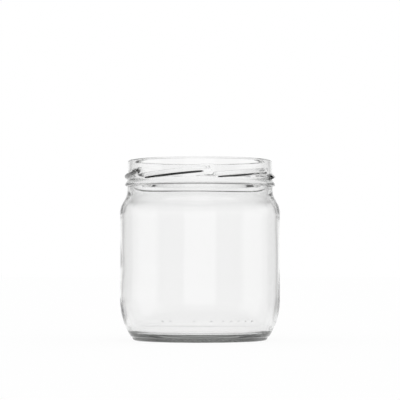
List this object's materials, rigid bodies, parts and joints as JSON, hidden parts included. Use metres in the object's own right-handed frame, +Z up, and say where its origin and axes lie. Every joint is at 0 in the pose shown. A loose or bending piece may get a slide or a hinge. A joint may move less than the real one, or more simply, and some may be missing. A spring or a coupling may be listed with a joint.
{
  "type": "round glass jar",
  "caption": "Round clear glass jar, open and empty, with slanted twist lugs, a bead below them, a label panel and a notched base.",
  "frame": {"origin": "centre of the bearing ring that the jar stands on", "axes": "+Z up along the jar's axis, out of the mouth; -Y the front, where the row of small dots is on the heel"},
  "size_m": [0.0872, 0.0872, 0.098],
  "materials": {
    "glass": "clear, polished"
  },
  "bodies": {
    "root": {"jar": "glass"}
  },
  "joints": []
}
